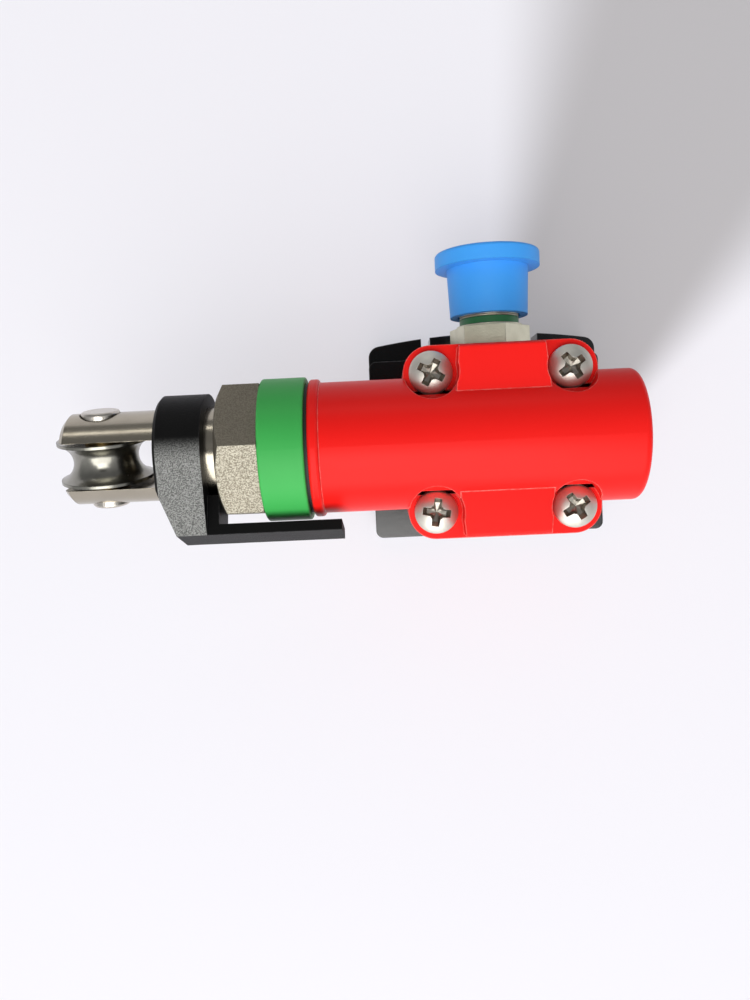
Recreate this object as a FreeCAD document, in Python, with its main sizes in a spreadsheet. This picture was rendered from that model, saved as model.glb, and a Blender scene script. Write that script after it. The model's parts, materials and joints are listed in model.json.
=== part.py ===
"""Rope pull safety switch: cast tube body on a black base, swivelling pull rod with rope pulley.

Millimetres. X runs along the rod, pulley at -X; Y+ is the connector side; Z is up.
The origin lies on the underside of the base, below the middle of the four cover screws.
"""
import FreeCAD, Part
import os
import re

import Sketcher

SIZES = {
    # cast body, measured from the tube axis
    "tube_radius": 12.5,
    "bore_radius": 10.3,
    "tube_mouth": 36.0,
    "tube_tail": 25.7,
    "tail_wall": 2.0,
    "tail_round": 1.3,
    "bead_length": 2.0,
    "bead_rise": 0.65,
    "bead_round": 0.6,
    "parting_drop": 19.5,
    "seat_rise": 3.5,
    "block_rise": 8.5,
    "block_length": 15.7,
    "block_root": 9.5,
    "block_inset": 0.7,
    "block_round": 0.5,
    "body_length": 36.4,
    "body_width": 36.4,
    "lug_radius": 5.2,
    "pocket_radius": 5.05,
    "screw_hole": 2.2,
    "cavity_end_wall": 2.8,
    "cavity_side_wall": 3.8,
    "column_wall": 4.2,
    "cavity_roof": 12.7,
    # black base
    "west_margin": 6.8,
    "east_margin": 5.8,
    "south_margin": 1.8,
    "north_inset": 0.2,
    "shoulder_margin": 3.0,
    "base_bow": 2.2,
    "base_height": 11.2,
    "rim_height": 3.0,
    "base_floor": 2.0,
    "base_corner": 1.6,
    "shoulder_corner": 2.5,
    "notch_width": 1.9,
    "notch_depth": 1.4,
    "notch_west": 12.5,
    "notch_east": 10.8,
    "gasket_thick": 0.8,
    "gasket_inset": 0.3,
    # fasteners
    "screw_radius": 2.0,
    "screw_bite": 8.0,
    "head_radius": 4.1,
    "head_height": 2.9,
    "head_round": 2.2,
    "recess_north_west": 50.0,
    "recess_north_east": 39.0,
    "recess_south_west": 81.0,
    "recess_south_east": 35.0,
    "cross_length": 4.8,
    "cross_width": 1.15,
    "cross_depth": 1.7,
    "insert_radius": 3.1,
    "insert_length": 8.6,
    "thread_gap": 0.05,
    "mount_margin": 1.8,
    "mount_centre": 0.5,
    "mount_bore": 2.1,
    "mount_insert_radius": 3.4,
    "mount_depth": 8.0,
    # gland, ring and seals on the tube mouth
    "gland_hex": 24.0,
    "gland_roll": -4.5,
    "gland_relief": 0.2,
    "gland_head": 8.0,
    "gland_bite": 8.0,
    "ring_radius": 13.65,
    "ring_length": 8.35,
    "ring_round": 0.4,
    "mouth_seal": 0.6,
    "mouth_seal_radius": 12.3,
    "fit_gap": 0.05,
    "press_gap": 0.02,
    "past_edge": 1.0,
    "wiper_depth": 2.4,
    "wiper_recess": 0.4,
    "wiper_radius": 10.4,
    "washer_thick": 1.2,
    "washer_bore": 5.1,
    # pull rod and head
    "head_roll": 12.5,
    "rod_radius": 8.75,
    "rod_end": 82.5,
    "rod_chamfer": 0.9,
    "shaft_radius": 4.8,
    "slot_width": 9.0,
    "slot_root": 58.0,
    "pin_place": 76.1,
    "pin_radius": 2.5,
    "pin_head_radius": 3.65,
    "pin_head_height": 1.35,
    "pin_head_round": 0.6,
    "pin_seat": 7.9,
    "pin_seat_gap": 0.25,
    "pulley_radius": 8.75,
    "groove_radius": 6.1,
    "groove_round": 3.5,
    "pulley_width": 8.0,
    "bush_wall": 1.1,
    "bush_gap": 0.1,
    # tension pointer
    "pointer_roll": -17.5,
    "collar_front": 64.3,
    "collar_back": 55.5,
    "collar_radius": 11.35,
    "collar_round": 0.6,
    "nose_slant": 3.2,
    "slant_start": 9.0,
    "arm_width": 8.4,
    "arm_outer": 17.1,
    "arm_thick": 2.0,
    "arm_rim": 0.5,
    "arm_rim_width": 1.1,
    "arm_tip": 30.6,
    "arm_root": 60.0,
    "gusset_back": 53.25,
    "gusset_top": 9.6,
    "gusset_edge": 0.5,
    "bore_relief": 2.0,
    "rib_place": 59.9,
    "rib_width": 1.8,
    "rib_depth": 0.6,
    # return spring, seat and cam on the shaft
    "spring_wire": 0.75,
    "spring_radius": 7.2,
    "spring_turns": 7.0,
    "seat_place": 1.8,
    "seat_thick": 2.0,
    "seat_radius": 9.6,
    "cam_length": 17.9,
    "cam_radius": 5.4,
    "cam_taper": 0.2,
    "clip_thick": 0.6,
    "clip_radius": 6.2,
    "clip_depth": 0.6,
    "clip_slot": 2.0,
    "shaft_tail": 0.35,
    # contact chamber
    "plunger_place": 5.9,
    "plunger_radius": 1.5,
    "plunger_nose": 0.5,
    "plunger_gap": 0.06,
    "block_west_room": 3.4,
    "block_east_room": 0.4,
    "block_side_room": 0.8,
    "block_height": 13.4,
    "chamber_roof": 3.0,
    "chamber_reach_x": 3.2,
    "chamber_reach_y": 7.0,
    "flange_radius": 2.4,
    "flange_thick": 0.8,
    "bridge_thick": 0.8,
    "bridge_length": 12.0,
    "bridge_width": 4.4,
    "bridge_drop": 0.6,
    "seal_top": 1.1,
    "seal_foot": 0.3,
    "guide_radius": 1.0,
    "guide_length": 1.6,
    "contact_height": 5.0,
    "contact_place": 4.7,
    "contact_size": 2.0,
    "little_wire": 0.2,
    "little_radius": 1.7,
    "little_turns": 6.0,
    # connector and cap on the north side
    "connector_drop": 11.0,
    "connector_turn": -14.0,
    "connector_hex": 14.0,
    "connector_hex_length": 4.5,
    "connector_thread": 5.9,
    "connector_inside": 4.5,
    "connector_bite": 5.2,
    "connector_flange": 0.4,
    "flange_lip": 0.7,
    "thread_chamfer": 0.6,
    "ring_groove": 1.5,
    "ring_depth": 1.0,
    "seal_play": 0.1,
    "connector_reach": 16.4,
    "carrier_back": 0.5,
    "insert_face": 8.3,
    "pin_circle": 2.6,
    "pin_thin": 0.5,
    "pin_tail": 0.3,
    "pin_tip": 15.2,
    "cap_stand": 6.8,
    "cap_length": 12.8,
    "cap_bore": 6.3,
    "cap_neck": 7.8,
    "cap_waist": 8.2,
    "cap_flange": 10.5,
    "cap_flange_thick": 3.2,
    "cap_roof": 2.0,
    "cap_round": 0.7,
}

# turn of each screw's cross recess as the photograph shows it, by corner (x sign, y sign)
RECESS_TURNS = {(-1, 1): "recess_north_west", (1, 1): "recess_north_east",
                (-1, -1): "recess_south_west", (1, -1): "recess_south_east"}
AXES = {"x": FreeCAD.Vector(1, 0, 0), "y": FreeCAD.Vector(0, 1, 0), "z": FreeCAD.Vector(0, 0, 1)}

doc = FreeCAD.newDocument("rope_pull_switch")
sheet = doc.addObject("Spreadsheet::Sheet", "sizes")
for row, (alias, number) in enumerate(SIZES.items(), start=1):
    sheet.set("A%d" % row, alias)
    sheet.set("B%d" % row, str(number))
    sheet.setAlias("B%d" % row, alias)
doc.recompute()

AXIS = "(parting_drop + gasket_thick + base_height)"
SCREW_X = "(body_length / 2 - lug_radius)"
SCREW_Y = "(body_width / 2 - lug_radius)"
CAVITY_X = "(body_length / 2 - cavity_end_wall)"
CAVITY_Y = "(body_width / 2 - cavity_side_wall)"
NARROW_X = "(%s - column_wall)" % SCREW_X
NARROW_Y = "(%s - column_wall)" % SCREW_Y
BLOCK_Y = "(body_width / 2 - block_inset)"
BASE_WEST = "(body_length / 2 + west_margin)"
BASE_EAST = "(body_length / 2 + east_margin)"
BASE_SHOULDER = "(body_width / 2 + shoulder_margin)"
CORNERS = list(RECESS_TURNS)
pieces = []


def size(alias):
    """The number that the sheet holds under this name."""
    return float(sheet.get(alias))


def tied(rule):
    """A rule in size names, written the way the document's expressions want it."""
    return re.sub(r"\b([a-z]+(?:_[a-z]+)+)\b", r"sizes.\1", rule)


def place(piece, x="0", y="0", z="0", angle=None, about="x"):
    """Put a piece at x, y, z, turned by an angle in degrees about one axis where asked."""
    if angle is not None:
        piece.Placement = FreeCAD.Placement(FreeCAD.Vector(0, 0, 0), FreeCAD.Rotation(AXES[about], 1))
        piece.setExpression(".Placement.Rotation.Angle", tied("%s * 1 deg" % angle))
    for letter, rule in (("x", x), ("y", y), ("z", z)):
        piece.setExpression(".Placement.Base.%s" % letter, tied(rule))
    return piece


def new_body(label):
    """A body whose label names its node."""
    body = doc.addObject("PartDesign::Body", label)
    body.Label = label
    pieces.append(body)
    return body


def new_sketch(body, plane, offset="0"):
    """A sketch on one of the body's own planes, moved along the plane's normal."""
    sketch = body.newObject("Sketcher::SketchObject", body.Name + "_sketch")
    role = [item for item in body.Origin.OriginFeatures if item.Role == plane][0]
    sketch.AttachmentSupport = [(role, "")]
    sketch.MapMode = "FlatFace"
    sketch.setExpression(".AttachmentOffset.Base.z", tied(offset))
    return sketch


def pin_point(sketch, line, end, x, y, start=(1.0, 1.0)):
    """Hold one end of a line, or a circle's centre, at x, y from the sketch's origin."""
    for kind, rule, first in (("DistanceX", x, start[0]), ("DistanceY", y, start[1])):
        index = sketch.addConstraint(Sketcher.Constraint(kind, -1, 1, line, end, first))
        sketch.setExpression("Constraints[%d]" % index, tied(rule))


def outline(sketch, corners):
    """A closed outline of straight sides through the given corners."""
    count = len(corners)
    first = sketch.GeometryCount
    ring = Part.Circle(FreeCAD.Vector(0, 0, 0), FreeCAD.Vector(0, 0, 1), 10.0)
    seeds = [ring.value(6.283 * step / count) for step in range(count)]
    for step in range(count):
        sketch.addGeometry(Part.LineSegment(seeds[step], seeds[(step + 1) % count]), False)
    for step in range(count):
        following = first + (step + 1) % count
        sketch.addConstraint(Sketcher.Constraint("Coincident", first + step, 2, following, 1))
    for step, (x, y) in enumerate(corners):
        pin_point(sketch, first + step, 1, x, y)


def rectangle(sketch, west, east, south, north):
    outline(sketch, [(west, south), (east, south), (east, north), (west, north)])


def circle(sketch, x, y, radius):
    index = sketch.addGeometry(Part.Circle(FreeCAD.Vector(1, 1, 0), FreeCAD.Vector(0, 0, 1), 1.0), False)
    pin_point(sketch, index, 3, x, y)
    rule = sketch.addConstraint(Sketcher.Constraint("Radius", index, 1.0))
    sketch.setExpression("Constraints[%d]" % rule, tied(radius))


def hexagon(sketch, across, corner_up):
    """A hexagon of the given width across its flats."""
    flat = "(%s) / 2" % across
    tip = "(%s) / sqrt(3)" % across
    half = "(%s) / sqrt(3) / 2" % across
    corners = [("0", tip), ("-" + flat, half), ("-" + flat, "-" + half),
               ("0", "-" + tip), (flat, "-" + half), (flat, half)]
    if not corner_up:
        corners = [(y, x) for x, y in reversed(corners)]
    outline(sketch, corners)


def feature(body, kind, sketch, **rules):
    """A pad, pocket, revolution or groove on a sketch, with sizes tied to the sheet."""
    made = body.newObject("PartDesign::" + kind, body.Name + "_" + kind.lower())
    made.Profile = sketch
    for name, rule in rules.items():
        if isinstance(rule, str) and name not in ("Type",):
            made.setExpression(name, tied(rule))
        else:
            setattr(made, name, rule)
    sketch.Visibility = False
    return made


def turn(body, corners, plane="XZ_Plane", about="H_Axis", kind="Revolution"):
    """Turn an outline about an axis of its plane, adding metal or cutting it."""
    sketch = new_sketch(body, plane)
    outline(sketch, corners)
    return feature(body, kind, sketch, ReferenceAxis=(sketch, [about]), Angle=360.0)


def pad(body, plane, offset, length, draw, **more):
    sketch = new_sketch(body, plane, offset)
    draw(sketch)
    return feature(body, "Pad", sketch, Length=length, **more)


def cut(body, plane, offset, length, draw, reverse=False):
    """A pocket of the given length against the plane's normal, or along it when reversed."""
    sketch = new_sketch(body, plane, offset)
    draw(sketch)
    return feature(body, "Pocket", sketch, Length=length, Reversed=reverse)


def cut_through(body, plane, draw):
    """A pocket right through the body, both ways from the plane."""
    sketch = new_sketch(body, plane)
    draw(sketch)
    return feature(body, "Pocket", sketch, Type="ThroughAll", Midplane=True)


def rims(shape, axis, where, radius):
    """Names of the round edges of one radius whose centre lies at one place along an axis."""
    found = []
    for number, edge in enumerate(shape.Edges, start=1):
        curve = edge.Curve
        if isinstance(curve, Part.Circle) and abs(curve.Radius - radius) < 0.01:
            if abs(getattr(curve.Center, axis) - where) < 0.01:
                found.append("Edge%d" % number)
    return found


def uprights(shape, reach_x, reach_y):
    """Names of the vertical edges that stand at the corners of a rectangle."""
    found = []
    for number, edge in enumerate(shape.Edges, start=1):
        room = edge.BoundBox
        straight_up = room.ZLength > 0.1 and room.XLength < 0.01 and room.YLength < 0.01
        if straight_up and abs(abs(room.XMin) - reach_x) < 0.02 and abs(abs(room.YMin) - reach_y) < 0.02:
            found.append("Edge%d" % number)
    return found


def ends(shape, height, reach_y):
    """Names of the level edges at one height that run along X at both ends of a block."""
    found = []
    for number, edge in enumerate(shape.Edges, start=1):
        room = edge.BoundBox
        level = room.ZLength < 0.01 and abs(room.ZMin - height) < 0.01
        if level and room.YLength < 0.01 and abs(abs(room.YMin) - reach_y) < 0.02:
            found.append("Edge%d" % number)
    return found


def soften(body, edges, radius, kind="Fillet"):
    """Round or chamfer the named edges of what the body is so far."""
    made = body.newObject("PartDesign::" + kind, body.Name + "_" + kind.lower())
    made.Base = (made.BaseFeature, edges)
    made.setExpression("Radius" if kind == "Fillet" else "Size", tied(radius))
    return made


def at_screws(draw_one):
    """Repeat a small drawing at the four screw places."""
    def draw(sketch):
        for x_sign, y_sign in CORNERS:
            draw_one(sketch, "%d * %s" % (x_sign, SCREW_X), "%d * %s" % (y_sign, SCREW_Y))
    return draw


def box_of(west, east, south, north):
    return lambda sketch: rectangle(sketch, west, east, south, north)


def disc_of(x, y, radius):
    return lambda sketch: circle(sketch, x, y, radius)


def cavity_boxes():
    """The plus-shaped hollow between the screw columns, as two crossing rectangles."""
    return (box_of("-" + CAVITY_X, CAVITY_X, "-" + NARROW_Y, NARROW_Y),
            box_of("-" + NARROW_X, NARROW_X, "-" + CAVITY_Y, CAVITY_Y))


def make_casting():
    """Die-cast body: a tube through a screw-down block, four lugs beside it."""
    body = new_body("housing_casting")
    floor = "-parting_drop"
    pad(body, "XY_Plane", floor, "parting_drop + seat_rise",
        box_of("-body_length / 2", "body_length / 2", "-body_width / 2", "body_width / 2"))
    doc.recompute()
    soften(body, uprights(body.Tip.Shape, size("body_length") / 2, size("body_width") / 2), "lug_radius")
    pad(body, "XY_Plane", "0", "block_rise", lambda sketch: outline(sketch, [
        ("-block_root", "0"), ("-block_length / 2", "-" + BLOCK_Y), ("block_length / 2", "-" + BLOCK_Y),
        ("block_root", "0"), ("block_length / 2", BLOCK_Y), ("-block_length / 2", BLOCK_Y)]))
    doc.recompute()
    side = size("body_width") / 2 - size("block_inset")
    soften(body, ends(body.Tip.Shape, size("block_rise"), side), "block_round")
    turn(body, [("-tube_mouth", "0"), ("-tube_mouth", "tube_radius + bead_rise"),
                ("bead_length - tube_mouth", "tube_radius + bead_rise"), ("bead_length - tube_mouth", "tube_radius"),
                ("tube_tail", "tube_radius"), ("tube_tail", "0")])
    cut(body, "XY_Plane", "seat_rise", "tube_radius",
        at_screws(lambda sketch, x, y: circle(sketch, x, y, "pocket_radius")), reverse=True)
    doc.recompute()
    shape = body.Tip.Shape
    soften(body, rims(shape, "x", size("tube_tail"), size("tube_radius")), "tail_round")
    doc.recompute()
    bead_radius = size("tube_radius") + size("bead_rise")
    shape = body.Tip.Shape
    bead = rims(shape, "x", -size("tube_mouth"), bead_radius)
    bead += rims(shape, "x", size("bead_length") - size("tube_mouth"), bead_radius)
    soften(body, bead, "bead_round")
    turn(body, [("-tube_mouth - past_edge", "0"), ("-tube_mouth - past_edge", "bore_radius"),
                ("tube_tail - tail_wall", "bore_radius"), ("tube_tail - tail_wall", "0")], kind="Groove")
    for draw in cavity_boxes():
        cut(body, "XY_Plane", floor, "parting_drop - cavity_roof", draw, reverse=True)
    cut_through(body, "XY_Plane", at_screws(lambda sketch, x, y: circle(sketch, x, y, "screw_hole")))
    cut(body, "XY_Plane", "0", "parting_drop", disc_of("plunger_place", "0", "screw_hole"))
    cut(body, "XZ_Plane", "connector_bite - body_width / 2", "body_width",
        disc_of("0", "-connector_drop", "connector_thread + thread_gap"))
    place(body, z=AXIS)


def make_gland():
    """Hexagon gland screwed into the tube mouth; the rod runs in its bore."""
    body = new_body("hex_gland")
    front = "-(tube_mouth + mouth_seal + ring_length + gland_head)"
    shoulder = "-(tube_mouth + mouth_seal + ring_length)"
    pad(body, "YZ_Plane", front, "gland_head", lambda sketch: hexagon(sketch, "gland_hex", True))
    corner = "(gland_hex / sqrt(3) + past_edge)"
    flat = "(gland_hex / 2 - gland_relief)"
    turn(body, [(front, flat), ("%s + (%s - %s) / sqrt(3)" % (front, corner, flat), corner),
                (front + " - past_edge", corner), (front + " - past_edge", flat)], kind="Groove")
    turn(body, [(shoulder, "0"), (shoulder, "bore_radius - thread_gap"),
                ("gland_bite - tube_mouth", "bore_radius - thread_gap"), ("gland_bite - tube_mouth", "0")])
    turn(body, [(front + " - past_edge", "0"), (front + " - past_edge", "wiper_radius"),
                (front + " + wiper_depth", "wiper_radius"), (front + " + wiper_depth", "rod_radius + fit_gap"),
                ("gland_bite - tube_mouth + past_edge", "rod_radius + fit_gap"),
                ("gland_bite - tube_mouth + past_edge", "0")], kind="Groove")
    place(body, z=AXIS, angle="gland_roll")


def ring(label, start, end, inner, outer, angle=None):
    """A plain ring about the tube axis."""
    body = new_body(label)
    turn(body, [(start, inner), (start, outer), (end, outer), (end, inner)])
    place(body, z=AXIS, angle=angle)
    return body


def make_mouth_rings():
    """Indicator ring, mouth seal, rod wiper and spring washer round the gland."""
    front = "-(tube_mouth + mouth_seal + ring_length + gland_head)"
    body = ring("indicator_ring", "-(tube_mouth + mouth_seal + ring_length)", "-(tube_mouth + mouth_seal)",
                "bore_radius + fit_gap", "ring_radius")
    doc.recompute()
    near = -(size("tube_mouth") + size("mouth_seal"))
    edges = rims(body.Tip.Shape, "x", near, size("ring_radius"))
    edges += rims(body.Tip.Shape, "x", near - size("ring_length"), size("ring_radius"))
    soften(body, edges, "ring_round")
    ring("mouth_seal_ring", "-(tube_mouth + mouth_seal)", "-tube_mouth", "bore_radius", "mouth_seal_radius")
    ring("rod_wiper", front + " + wiper_recess", front + " + wiper_depth", "rod_radius + fit_gap", "wiper_radius")
    ring("spring_washer", "gland_bite - tube_mouth", "gland_bite - tube_mouth + washer_thick",
         "washer_bore", "bore_radius - 2 * fit_gap")


def make_rod():
    """Turned and milled pull rod: fork at one end, thin shaft inside the tube."""
    body = new_body("pull_rod")
    shoulder = "(gland_bite - tube_mouth)"
    clip = "(seat_place + seat_thick + cam_length)"
    turn(body, [("-rod_end", "0"), ("-rod_end", "rod_radius - rod_chamfer"),
                ("rod_chamfer - rod_end", "rod_radius"), ("-rib_place - rib_width / 2 - fit_gap", "rod_radius"),
                ("-rib_place - rib_width / 2 - fit_gap", "rod_radius - rib_depth"),
                ("-rib_place + rib_width / 2 + fit_gap", "rod_radius - rib_depth"),
                ("-rib_place + rib_width / 2 + fit_gap", "rod_radius"),
                (shoulder, "rod_radius"), (shoulder, "shaft_radius"),
                (clip, "shaft_radius"), (clip, "shaft_radius - clip_depth"),
                (clip + " + clip_thick", "shaft_radius - clip_depth"), (clip + " + clip_thick", "shaft_radius"),
                (clip + " + clip_thick + shaft_tail", "shaft_radius"), (clip + " + clip_thick + shaft_tail", "0")])
    cut_through(body, "XY_Plane", box_of("-rod_end - past_edge", "-slot_root", "-slot_width / 2", "slot_width / 2"))
    cut_through(body, "XZ_Plane", disc_of("-pin_place", "0", "pin_radius + press_gap"))
    seat = disc_of("-pin_place", "0", "pin_head_radius + pin_seat_gap")
    cut(body, "XZ_Plane", "pin_seat", "rod_radius", seat, reverse=True)
    cut(body, "XZ_Plane", "-pin_seat", "rod_radius", seat)
    place(body, z=AXIS, angle="head_roll")


def make_pin():
    """Riveted pin across the fork, a low domed head at each side."""
    body = new_body("pulley_pin")
    head = "pin_seat + pin_head_height"
    turn(body, [("0", "-(%s)" % head), ("pin_head_radius", "-(%s)" % head), ("pin_head_radius", "-pin_seat"),
                ("pin_radius", "-pin_seat"), ("pin_radius", "pin_seat"), ("pin_head_radius", "pin_seat"),
                ("pin_head_radius", head), ("0", head)], "XY_Plane", "V_Axis")
    doc.recompute()
    reach = size("pin_seat") + size("pin_head_height")
    edges = rims(body.Tip.Shape, "y", reach, size("pin_head_radius"))
    edges += rims(body.Tip.Shape, "y", -reach, size("pin_head_radius"))
    soften(body, edges, "pin_head_round")
    place(body, x="-pin_place", z=AXIS, angle="head_roll")


def make_pulley():
    """Grooved rope pulley with a pressed bush."""
    bush = "pin_radius + fit_gap + bush_wall"
    half = "pulley_width / 2"
    body = new_body("rope_pulley")
    turn(body, [(bush, "-" + half), ("pulley_radius", "-" + half), ("pulley_radius", half), (bush, half)],
         "XY_Plane", "V_Axis")
    sketch = new_sketch(body, "XY_Plane")
    circle(sketch, "groove_radius + groove_round", "0", "groove_round")
    feature(body, "Groove", sketch, ReferenceAxis=(sketch, ["V_Axis"]), Angle=360.0)
    place(body, x="-pin_place", z=AXIS, angle="head_roll")
    body = new_body("pulley_bush")
    reach = "(slot_width / 2 - bush_gap)"
    turn(body, [("pin_radius + fit_gap", "-" + reach), (bush, "-" + reach), (bush, reach),
                ("pin_radius + fit_gap", reach)], "XY_Plane", "V_Axis")
    place(body, x="-pin_place", z=AXIS, angle="head_roll")


def make_pointer():
    """Moulded tension pointer: collar snapped on the rod, teardrop nose and a long arm."""
    body = new_body("tension_pointer")
    turn(body, [("-collar_front", "0"), ("-collar_front", "collar_radius"), ("-collar_back", "collar_radius"),
                ("-collar_back", "0")])
    reach2 = "(arm_outer * arm_outer + arm_width * arm_width / 4)"
    root = "sqrt(%s - collar_radius * collar_radius)" % reach2
    far = "((collar_radius * %s * arm_width / 2 - arm_outer * collar_radius * collar_radius) / %s)" % (root, reach2)
    wide = "((arm_width / 2 * collar_radius * collar_radius + collar_radius * %s * arm_outer) / %s)" % (root, reach2)
    pad(body, "YZ_Plane", "-collar_front", "collar_front - collar_back", lambda sketch: outline(sketch, [
        ("-arm_outer", "-arm_width / 2"), (far, "-" + wide), ("0", "-arm_width / 2"), ("0", "arm_width / 2"),
        (far, wide), ("-arm_outer", "arm_width / 2")]))
    doc.recompute()
    soften(body, rims(body.Tip.Shape, "x", -size("collar_front"), size("collar_radius")), "collar_round", "Chamfer")
    cut_through(body, "XY_Plane", lambda sketch: outline(sketch, [
        ("-collar_front - past_edge", "-slant_start"), ("-collar_front", "-slant_start"),
        ("2 * nose_slant - collar_front", "slant_start - 2 * arm_outer"),
        ("-collar_front - past_edge", "slant_start - 2 * arm_outer")]))
    inner = "arm_outer - arm_thick"
    pad(body, "XZ_Plane", inner, "arm_outer - (%s)" % inner,
        box_of("-arm_root", "-arm_tip", "-arm_width / 2", "arm_width / 2"))
    pad(body, "XZ_Plane", "gusset_top", "arm_outer - gusset_top - gusset_edge",
        box_of("-collar_back - past_edge", "-gusset_back", "-arm_width / 2", "arm_width / 2"))
    cut(body, "XZ_Plane", inner + " + arm_rim", "arm_rim",
        box_of("-gusset_back", "-arm_tip - arm_rim_width", "arm_rim_width - arm_width / 2",
               "arm_width / 2 - arm_rim_width"))
    west = "(-rib_place - rib_width / 2)"
    east = "(-rib_place + rib_width / 2)"
    turn(body, [("-collar_front - past_edge", "0"), ("-collar_front - past_edge", "rod_radius + fit_gap"),
                (west, "rod_radius + fit_gap"), (west, "rod_radius - rib_depth + fit_gap"),
                (east, "rod_radius - rib_depth + fit_gap"), (east, "rod_radius + fit_gap"),
                ("-collar_back + bore_relief", "rod_radius + fit_gap"), ("-collar_back + bore_relief", "0")],
         kind="Groove")
    place(body, z=AXIS, angle="pointer_roll")


def make_spring(label, wire, radius, height, turns):
    """A coil spring standing on its own XY plane."""
    body = new_body(label)
    sketch = new_sketch(body, "XZ_Plane")
    circle(sketch, radius, wire, wire)
    coil = body.newObject("PartDesign::AdditiveHelix", label + "_coil")
    coil.Profile = sketch
    coil.ReferenceAxis = (sketch, ["V_Axis"])
    coil.Mode = "height-turns-angle"
    coil.setExpression("Height", tied(height))
    coil.setExpression("Turns", tied(turns))
    return body


def make_shaft_parts():
    """Return spring, its seat, the cam sleeve and the clip that hold them on the shaft."""
    start = "(gland_bite - tube_mouth + washer_thick)"
    coil = make_spring("return_spring", "spring_wire", "spring_radius",
                       "seat_place - %s - 2 * spring_wire - 2 * press_gap" % start, "spring_turns")
    place(coil, x=start + " + press_gap", z=AXIS, angle="90", about="y")
    ring("spring_seat", "seat_place", "seat_place + seat_thick", "shaft_radius + fit_gap", "seat_radius")
    body = new_body("cam_sleeve")
    start = "(seat_place + seat_thick)"
    turn(body, [(start, "shaft_radius + fit_gap"), (start, "cam_radius"),
                (start + " + cam_length - fit_gap", "cam_radius + cam_taper * cam_length"),
                (start + " + cam_length - fit_gap", "shaft_radius + fit_gap")])
    place(body, z=AXIS)
    clip = start + " + cam_length"
    body = ring("rod_end_clip", clip, clip + " + clip_thick - fit_gap", "shaft_radius - clip_depth", "clip_radius",
                angle="head_roll")
    cut(body, "XY_Plane", "0", "clip_radius + past_edge",
        box_of(clip + " - past_edge", clip + " + clip_thick + past_edge", "-clip_slot", "clip_slot"))


def make_plunger():
    """Contact plunger under the cam, with its bridge, springs, block and fixed contacts."""
    slope_start = "(plunger_place + plunger_nose - seat_place - seat_thick)"
    tip = "(%s - cam_radius - cam_taper * %s - plunger_gap)" % (AXIS, slope_start)
    roof = "(base_floor + block_height - chamber_roof)"
    flange = "(%s - bridge_drop)" % roof
    strip = "(%s - flange_thick)" % flange
    under = "(%s - bridge_thick)" % strip
    slope = "(plunger_radius - plunger_nose)"
    body = new_body("contact_plunger")
    turn(body, [("0", under + " - guide_length"), ("guide_radius", under + " - guide_length"),
                ("guide_radius", strip), ("flange_radius", strip), ("flange_radius", flange),
                ("plunger_radius", flange), ("plunger_radius", "%s - %s" % (tip, slope)),
                ("plunger_nose", tip), ("0", tip)], "XZ_Plane", "V_Axis")
    place(body, x="plunger_place")
    body = new_body("contact_bridge")
    pad(body, "XY_Plane", under, "bridge_thick", box_of("-bridge_width / 2", "bridge_width / 2",
                                                        "-bridge_length / 2", "bridge_length / 2"))
    cut_through(body, "XY_Plane", disc_of("0", "0", "guide_radius + press_gap"))
    place(body, x="plunger_place")
    coil = make_spring("plunger_spring", "little_wire", "little_radius",
                       "%s - base_floor - 2 * little_wire - 2 * press_gap" % under, "little_turns")
    place(coil, x="plunger_place", z="base_floor + press_gap")
    body = new_body("contact_block")
    pad(body, "XY_Plane", "base_floor", "block_height",
        box_of("block_west_room - " + CAVITY_X, CAVITY_X + " - block_east_room",
               "block_side_room - " + NARROW_Y, NARROW_Y + " - block_side_room"))
    cut(body, "XY_Plane", "base_floor", "block_height - chamber_roof",
        box_of("plunger_place - chamber_reach_x", "plunger_place + chamber_reach_x",
               "-chamber_reach_y", "chamber_reach_y"), reverse=True)
    cut_through(body, "XY_Plane", disc_of("plunger_place", "0", "plunger_radius + fit_gap"))
    place(body)
    for number, side in ((1, "contact_place"), (2, "-contact_place")):
        body = new_body("fixed_contact_%d" % number)
        pad(body, "XY_Plane", "base_floor", "contact_height",
            box_of("plunger_place - contact_size / 2", "plunger_place + contact_size / 2",
                   side + " - contact_size / 2", side + " + contact_size / 2"))
        place(body)
    body = new_body("plunger_seal")
    foot = "-tube_radius + seal_foot"
    top = "-bore_radius - seal_top"
    turn(body, [("plunger_radius + fit_gap", foot), ("screw_hole", foot), ("screw_hole", top),
                ("plunger_radius + fit_gap", top)], "XZ_Plane", "V_Axis")
    place(body, x="plunger_place", z=AXIS)


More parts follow.
